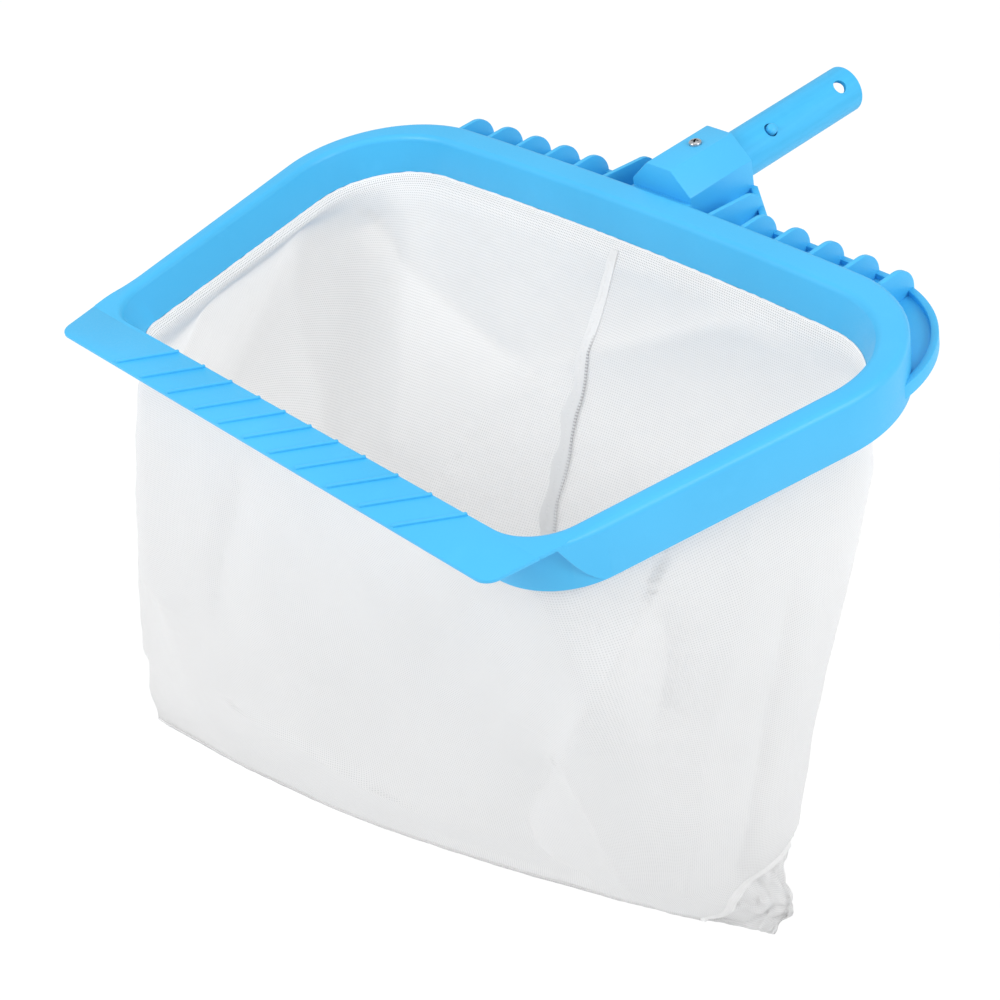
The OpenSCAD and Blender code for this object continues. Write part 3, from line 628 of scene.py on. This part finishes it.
def screw_bosses():
    """The studs inside the groove that the clamp ring's screws go into."""
    places = [(t * LIP_W / 9, LIP_BACK + WALL + 2.8, FRONT_BOSS_TOP) for t in (-3, -1, 1, 3)]
    places += [(side * side_x(SIDE_CREST / 2 + 1.8, t * FRAME_D, MOUTH_FLARE), t * FRAME_D, ROOF + 0.8)
               for t in (0.28, 0.51, 0.72) for side in (-1, 1)]
    places += [(t * LIP_W / 2, rear_y(REAR_CREST / 2 + 1.5, t * LIP_W / 2), ROOF + 0.8)
               for t in (-0.66, -0.25, 0.25, 0.66)]
    bm = bmesh.new()
    for x, y, top in places:
        bmesh.ops.create_cone(bm, cap_ends=True, segments=24, radius1=BOSS_R, radius2=BOSS_R,
                              depth=top - BOSS_FOOT, matrix=Matrix.Translation((x, y, (top + BOSS_FOOT) / 2)))
    return bm


def cross_screw():
    """Pan-head screw with a cross recess, its shank down in the socket."""
    count, edge_h, domes = 96, 0.9, 41

    def ring(radius, z, recess=False):
        points = []
        for i in range(count):
            a = 2 * math.pi * i / count
            x, y = radius * math.cos(a), radius * math.sin(a)
            u = abs(math.cos(0.5) * x + math.sin(0.5) * y)
            v = abs(math.cos(0.5) * y - math.sin(0.5) * x)
            slot = max(smooth(0.62, 0.36, u) * smooth(2.2, 1.7, v),
                       smooth(0.62, 0.36, v) * smooth(2.2, 1.7, u))
            points.append((x, SCREW_Y + y, SCREW_Z + z - (1.5 * slot if recess else 0)))
        return points

    rings = [ring(0.3, -14), ring(1.8, -11.5), ring(1.8, 0), ring(SCREW_HEAD_R, 0), ring(SCREW_HEAD_R, edge_h)]
    for i in range(1, domes):
        r = SCREW_HEAD_R * (1 - i / domes)
        rings.append(ring(r, edge_h + (SCREW_HEAD_H - edge_h) * (1 - (r / SCREW_HEAD_R) ** 2.6) ** 0.5, True))
    return loft(rings, ends=True)[0]


# ---------------------------------------------------------------- bag

# Points round the cloth and rows down it, and the nominal girth by which distances along it are measured
ROUND, LEVELS, CLOTH_W = 320, 120, 950

# Folded edge of the cloth over the gathered corner, from the bottom up
CORNER_EDGE = ((0.172, 1.03), (0.175, 0.95), (0.1906, 0.883), (0.2031, 0.85), (0.2219, 0.808), (0.2344, 0.785),
               (0.247, 0.76), (0.262, 0.735), (0.285, 0.72))

# How far each side of the bag stands outward, in millimetres, at shares of its depth
LEFT_PUSH = ((0, 0), (0.1, 11), (0.22, 16), (0.45, 23), (0.62, 13), (0.78, 7), (0.92, -2), (1, -13))
RIGHT_PUSH = ((0, 0), (0.05, 4), (0.6, -3), (0.83, -4), (0.93, 8.5), (1, 2))

# Of the left side's push, how much goes sideways and how much toward the lip
LEFT_ACROSS, LEFT_FORWARD = 0.5, 0.45

# Folds of the hanging cloth: height, width on the left and on the right, and places round and down the bag.
# All heights are taken times FOLD_RISE.
FOLD_RISE = 2
FOLDS = (
    (3.2, 9, 22, ((0.179, 0.106), (0.162, 0.169), (0.146, 0.269), (0.112, 0.462), (0.112, 0.569),
                  (0.121, 0.719), (0.146, 0.962))),
    (-2.2, 12, 8, ((0.185, 0.119), (0.188, 0.181), (0.175, 0.331))),
    (-2.8, 16, 7, ((0.092, 0.544), (0.071, 0.662), (0.062, 0.756), (0.065, 0.862), (0.079, 0.931))),
    (-2.4, 8, 16, ((0.933, 0.206), (0.931, 0.244), (0.921, 0.331), (0.915, 0.412))),
    (2.2, 14, 6, ((0.917, 0.744), (0.935, 0.756), (0.962, 0.775), (0.979, 0.8))),
    (2.0, 10, 10, ((0.842, 0.494), (0.871, 0.519))),
    (-2.0, 18, 18, ((0.085, 0.15), (0.05, 0.275), (0.033, 0.381))),
    (-1.6, 10, 14, ((0.025, 0.956), (0.05, 0.962), (0.067, 0.975))),
    (2.0, 7, 12, ((0.227, 0.112), (0.21, 0.256), (0.185, 0.469), (0.167, 0.831))),
    (-1.8, 9, 9, ((0.25, 0.231), (0.231, 0.394), (0.212, 0.6), (0.2, 0.794))),
    (1.7, 16, 9, ((0.723, 0), (0.696, 0.15), (0.679, 0.256), (0.665, 0.325), (0.646, 0.388), (0.627, 0.475))),
    (2.8, 14, 8, ((0.665, 0.075), (0.638, 0.138), (0.608, 0.169), (0.577, 0.2), (0.546, 0.231))),
    (-2.2, 14, 14, ((0.655, 0.04), (0.6, 0.3), (0.585, 0.42))),
    (-2.4, 10, 16, ((0.5, 0.175), (0.475, 0.131), (0.446, 0.075), (0.412, 0.019))),
    (2.2, 16, 12, ((0.49, 0.5), (0.45, 0.4), (0.38, 0.34))),
    (2.5, 14, 9, ((0.33, 0.15), (0.345, 0.5), (0.37, 0.85))),
    (-2.2, 10, 16, ((0.55, 0.45), (0.57, 0.7), (0.59, 0.95))),
    (2.4, 10, 14, ((0.78, 0.1), (0.775, 0.45), (0.79, 0.8))),
)


def bag_point(m, t):
    """Point of the bag below a place m of the mouth, at share t of its depth, before the cloth's folds."""
    f = math.atan2((m.y - BAG_MID_Y) / (FRAME_D * 0.46), m.x / (LIP_W * 0.55))
    fold_x, fold_y = FOLD_L / 2 * math.cos(f), 12 * (1 - smooth(0.8, 1, t)) * math.sin(f)
    x = mix(m.x, fold_x, t ** 0.7) * (1 + 4 * BELLY * t * (1 - t))
    push = eased(RIGHT_PUSH if fold_x > 0 else LEFT_PUSH, t) * fold_x * 2 / FOLD_L
    x += push * (1 if fold_x > 0 else LEFT_ACROSS)
    y = mix(m.y - BAG_MID_Y, fold_y, t ** 1.3) + (0 if fold_x > 0 else LEFT_FORWARD * push)
    turn = TWIST * t
    end = 2 * fold_x / FOLD_L
    drop = BAG_DEPTH - FOLD_SAG * end * end + 4 * LEFT_SAG * max(0, -end) * (1 + end)
    return Vector((x * math.cos(turn) - y * math.sin(turn) + FOLD_MID[0] * t,
                   x * math.sin(turn) + y * math.cos(turn) + mix(BAG_MID_Y, FOLD_MID[1], t),
                   COLLAR - t * drop))


def beside(path, s, t):
    """Distance along the cloth from a place to a path, and its side of the path: above 0 on the right."""
    here = Vector((((s - path[0][0] + 0.5) % 1 - 0.5) * CLOTH_W, t * BAG_DEPTH))
    best = None
    points = [Vector(((p[0] - path[0][0]) * CLOTH_W, p[1] * BAG_DEPTH)) for p in path]
    for a, b in zip(points, points[1:]):
        way = b - a
        share = min(max((here - a).dot(way) / way.length_squared, 0), 1)
        away = here - (a + share * way)
        if best is None or away.length < best[0]:
            best = (away.length, away.cross(way))
    return best


def tucked(s, t):
    """How deep the cloth of the gathered corner lies under its folded edge, with its creases."""
    if not 0.15 < s < 0.33 or t < 0.6:
        return 0
    away, side = beside(CORNER_EDGE, s, t)
    if side > 0:
        return 0
    creases = abs(noise.noise(Vector((s * CLOTH_W / 10, t * BAG_DEPTH / 13, 0.4))))
    return smooth(0, 3, away) * smooth(0.33, 0.27, s) * smooth(1.03, 0.96, t) * (4.2 - 5.5 * creases)


def fold_height(s, t):
    """How far the folds lift the cloth at share s round the bag and t down it."""
    lift = 0
    for height, left, right, path in FOLDS:
        reach = 2.2 * max(left, right) / BAG_DEPTH
        if not min(p[1] for p in path) - reach < t < max(p[1] for p in path) + reach:
            continue
        best = beside(path, s, t)
        width = right if best[1] > 0 else left
        if best[0] < 2.5 * width:
            lift += FOLD_RISE * height * math.exp(-(best[0] / width) ** 1.25)
    return lift


def cloth_grid(mouth):
    """Points of the bag's cloth, row by row from the collar to the bottom fold."""
    base = [[bag_point(m, j / LEVELS) for m in mouth] for j in range(LEVELS + 1)]
    rows = []
    for j, row in enumerate(base):
        t = j / LEVELS
        free = smooth(0, 0.06, t) * smooth(1.04, 0.9, t)
        up, down = base[max(j - 1, 0)], base[min(j + 1, LEVELS)]
        points = []
        for i, p in enumerate(row):
            s = i / ROUND
            out = (row[(i + 1) % ROUND] - row[i - 1]).cross(down[i] - up[i]).normalized() * -1
            u, v = math.cos(2 * math.pi * s), math.sin(2 * math.pi * s)
            billow = noise.noise(Vector((8 * u * 0.35, 8 * v * 0.35, t * 3))) * 3
            crinkle = noise.fractal(Vector((u * 9, v * 9, t * 13)), 0.9, 2.1, 3) * 0.45
            points.append(p + out * (free * (fold_height(s, t) + billow + crinkle) - tucked(s, t)))
        rows.append(points)
    return rows


def mesh_bag(mouth, grid, finish):
    rings = [[(m.x, m.y, z) for m in mouth] for z in (COLLAR_TOP, COLLAR_MID)] + grid
    bm, rows = loft(rings)
    girth = sum((a - b).length for a, b in zip(mouth, mouth[1:] + mouth[:1])) * MM
    unwrap(bm, rows, [girth * i / ROUND for i in range(ROUND + 1)],
           [j * BAG_DEPTH * MM / LEVELS for j in range(len(rows))])
    bag = finished("mesh_bag", [bm], finish, "mesh", "net_bag", "hem_cord", sharp=0)
    cloth = bag.modifiers.new("cloth", "SOLIDIFY")
    cloth.thickness, cloth.offset = 0.0005, -1
    return bag, girth


def on_bag(grid, s, t):
    """Point of the cloth and the direction out of the bag there."""
    x, y = s * ROUND, t * LEVELS
    i, j = int(x), min(int(y), LEVELS - 1)
    a, b, c, d = (grid[q][p % ROUND] for q, p in ((j, i), (j, i + 1), (j + 1, i), (j + 1, i + 1)))
    point = a.lerp(b, x - i).lerp(c.lerp(d, x - i), y - j)
    return point, (c - a).cross(b - a).normalized()


def strip(name, sections, widths, finish, *nodes):
    """Narrow cloth sewn to the bag, through a list of closed sections."""
    bm, rows = loft(sections, ends=True)
    lengths = [0]
    for a, b in zip(sections, sections[1:]):
        lengths.append(lengths[-1] + (Vector(b[0]) - Vector(a[0])).length * MM)
    unwrap(bm, rows, widths, lengths)
    return finished(name, [bm], finish, "mesh", *nodes, sharp=60)


def seam_flap(grid, finish):
    """Flap of the seam down the middle of the bag's rear, on the inside."""
    sections = []
    for k in range(121):
        t = mix(0.004, 0.93, k / 120)
        s = 0.5065 - 0.028 * t
        width, stand = mix(5.2, 7, smooth(0.05, 0.3, t)), mix(0.5, 1.5, smooth(0.1, 0.3, t))
        width *= 1 + 0.14 * math.sin(t * 71) * smooth(0.1, 0.3, t)
        wave_in = 0.6 * math.sin(t * 47) * smooth(0.1, 0.3, t)
        section = []
        for share, inside in ((0, stand + 0.9), (0.2, stand + 0.9), (0.6, 1.3), (1, 0.9), (1, 0.3), (0.6, 0.5),
                              (0.2, stand * 0.5), (0, stand)):
            p, out = on_bag(grid, s + (share * width + wave_in) / CLOTH_W, t)
            section.append(p - out * inside)
        sections.append(section)
    widths = [0, 0.0014, 0.0042, 0.007, 0.0071, 0.0042, 0.0014, 0.0, 0.0]
    return strip("seam_flap", sections, widths, finish, "rear_seam_flap")


def corner_fold(grid, finish):
    """Rolled edge of the cloth where the bag's bottom corner is gathered under it."""
    path = even([Vector(p) for p in CORNER_EDGE], 60)[2:-9]
    sections = []
    for a, b in zip(path, path[1:]):
        way = Vector(((b.x - a.x) * CLOTH_W, (b.y - a.y) * BAG_DEPTH)).normalized()
        down = Vector((-way.y / CLOTH_W, way.x / BAG_DEPTH))
        section = []
        for aside, high in ((-2.6, 0.1), (-1, 1.0), (0.8, 1.3), (1.7, 0.8), (2.0, 0), (1.2, -0.7), (-1, -0.9)):
            place = a + down * aside
            base, out = on_bag(grid, *(a - down * 1.5))
            there, _ = on_bag(grid, place.x, min(place.y, 1))
            if aside > -1.5:
                there = there + out * (base - there).dot(out)
            section.append(there + out * high)
        sections.append(section)
    widths = [0, 0.002, 0.004, 0.005, 0.0055, 0.007, 0.009, 0.0105]
    return strip("corner_fold", sections, widths, finish, "net_bag")


def bottom_hem(grid, finish):
    """Sewn edge that hangs under the bag's bottom fold."""
    sections, last = [], grid[-1]
    reach = ROUND // 4 - 2
    for i in range(-reach, reach + 1):
        p, q = last[i % ROUND], last[(i + 1) % ROUND]
        along = (q - p).normalized()
        thick = along.cross(Vector((0, 0, 1))).normalized()
        drop = SEAM_DROP * smooth(reach + 1, reach - 8, abs(i)) + 0.6 * noise.noise(Vector((i * 0.35, 0, 0)))
        sections.append([p + thick * w + Vector((0, 0, z)) for w, z in
                         ((-0.7, 1.5), (-0.5, -drop + 0.4), (0, -drop), (0.5, -drop + 0.4), (0.7, 1.5))])
    widths = [0.008, 0.002, 0.0, 0.002, 0.008, 0.009]
    return strip("bottom_hem", sections, widths, finish, "bottom_seam")


def hem_binding(finish):
    """Cut edge of the cloth that shows at the foot of the frame's inner wall."""
    count = 480
    mouth = {d: round_mouth(d, count) for d in (0.1, 0.5)}
    rings = [[], [], [], []]
    for i in range(count):
        a = 2 * math.pi * i / count
        rough = 0.5 * noise.noise(Vector((40 * math.cos(a), 40 * math.sin(a), 0)))
        corners = (0.1, -23.3), (0.1, -21.75 + rough), (0.5, -21.85 + rough), (0.5, -23.3)
        for ring, (d, z) in zip(rings, corners):
            ring.append((*mouth[d][i], z))
    bm, rows = loft(rings)
    unwrap(bm, rows, [i * 0.002 for i in range(count + 1)], [0, 0.0016, 0.002, 0.0036])
    return finished("hem_binding", [bm], finish, "mesh", "net_bag", sharp=60)


def round_mouth(d, count):
    """Points at equal steps round the mouth's edge, d inside it."""
    half = even(half_outline(*inner(MOUTH_SIDE + d, MOUTH_REAR + d, MOUTH_FRONT + d, MOUTH_R)), count // 2)
    return half + [Vector((-p.x, p.y)) for p in half[-2:0:-1]]


# ---------------------------------------------------------------- the net

blue = moulded_blue("moulded_blue", (0.05, 0.44, 0.79), (0.058, 0.468, 0.83), 0.4)
tube_blue = moulded_blue("handle_blue", (0.04, 0.43, 0.78), (0.048, 0.46, 0.82), 0.46, (30, 2, 30))
steel = screw_steel()
cloth_white = woven("net_mesh", 0.0013, (0.965, 0.965, 0.965), (0.75, 0.755, 0.765), 0.36, 0.66)
tape = seam_tape()

for name, parts in {"rim_channel": [rim_channel()], "lip_plate": [lip_plate()], "lip_ribs": lip_ribs(),
                    "lip_cheeks": [cheek(-1), cheek(1)], "rear_flange": rear_flange(), "flange_fins": fins(),
                    "handle_socket": handle_socket(), "screw_bosses": [screw_bosses()]}.items():
    finished(name, parts, blue, "blue_plastic", "frame")
finished("cross_screw", [cross_screw()], steel, "steel", "socket_screw")

mouth = round_mouth(0.2, ROUND)
grid = cloth_grid(mouth)
bag, girth = mesh_bag(mouth, grid, cloth_white)
thread_white = woven("hem_thread", 0.0011, (0.97, 0.97, 0.97), (0.9, 0.9, 0.905), 0.0, 0.3)
sewn = [hem_binding(thread_white),
        seam_flap(grid, tape), bottom_hem(grid, cloth_white), corner_fold(grid, thread_white)]

for node, finish in {"clamp_ring": blue, "ring_screws": steel, "handle_tube": tube_blue, "clip_bend": blue,
                     "clip_arm_upper": blue, "clip_arm_lower": blue}.items():
    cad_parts[node].material_slots[0].material = finish

# ---------------------------------------------------------------- floor, light and camera

FLOOR_Z, STUDIO_MIDDLE = -0.37, Vector((0.0, -0.24, -0.08))


def lay_floor():
    bm = bmesh.new()
    bmesh.ops.create_grid(bm, x_segments=2, y_segments=2, size=6)
    bmesh.ops.translate(bm, verts=bm.verts, vec=(0, 0, FLOOR_Z))
    mesh = bpy.data.meshes.new("studio_floor")
    bm.to_mesh(mesh)
    bm.free()
    mesh.materials.append(studio_floor())
    floor = bpy.data.objects.new("studio_floor", mesh)
    bpy.context.scene.collection.objects.link(floor)


def softbox(name, direction, distance, size, power):
    """Round area light at a distance from the middle of the net, turned toward it."""
    lamp = bpy.data.lights.new(name, "AREA")
    lamp.shape, lamp.size, lamp.energy = "DISK", size, power
    holder = bpy.data.objects.new(name, lamp)
    way = Vector(direction).normalized()
    holder.location = STUDIO_MIDDLE + way * distance
    holder.rotation_euler = (-way).to_track_quat("-Z", "Y").to_euler()
    bpy.context.scene.collection.objects.link(holder)


def white_world():
    """White where the camera looks straight at it, dimmer as a light."""
    world = bpy.data.worlds.new("studio")
    bpy.context.scene.world = world
    sky = Finish("studio", world)
    strength = sky.ray("Is Camera Ray") * 0.35 + 0.71
    sky.shown(sky.add("ShaderNodeBackground", {}, {"Color": (1, 1, 1), "Strength": strength}),
              "ShaderNodeOutputWorld")


def set_camera():
    camera = bpy.data.cameras.new("camera")
    camera.lens, camera.sensor_width, camera.sensor_fit = 72.0, 36, "HORIZONTAL"
    camera.clip_end = 50
    view = bpy.data.objects.new("camera", camera)
    turned = Matrix(((0.6561, -0.3593, 0.6628), (0.7347, 0.5064, -0.4529), (-0.1723, 0.7839, 0.5963)))
    view.matrix_world = Matrix.Translation((0.7436, -0.7404, 0.5542)) @ turned.to_4x4()
    bpy.context.scene.collection.objects.link(view)
    bpy.context.scene.camera = view


lay_floor()
softbox("top_softbox", (0.1, 0.1, 1), 2.0, 1.3, 4)
softbox("right_softbox", (0.9, 0.3, 0.5), 2.2, 1.0, 18)
softbox("front_softbox", (-0.25, -0.75, 0.7), 2.3, 1.2, 24)
white_world()
set_camera()
bpy.context.scene.view_settings.view_transform = "Standard"
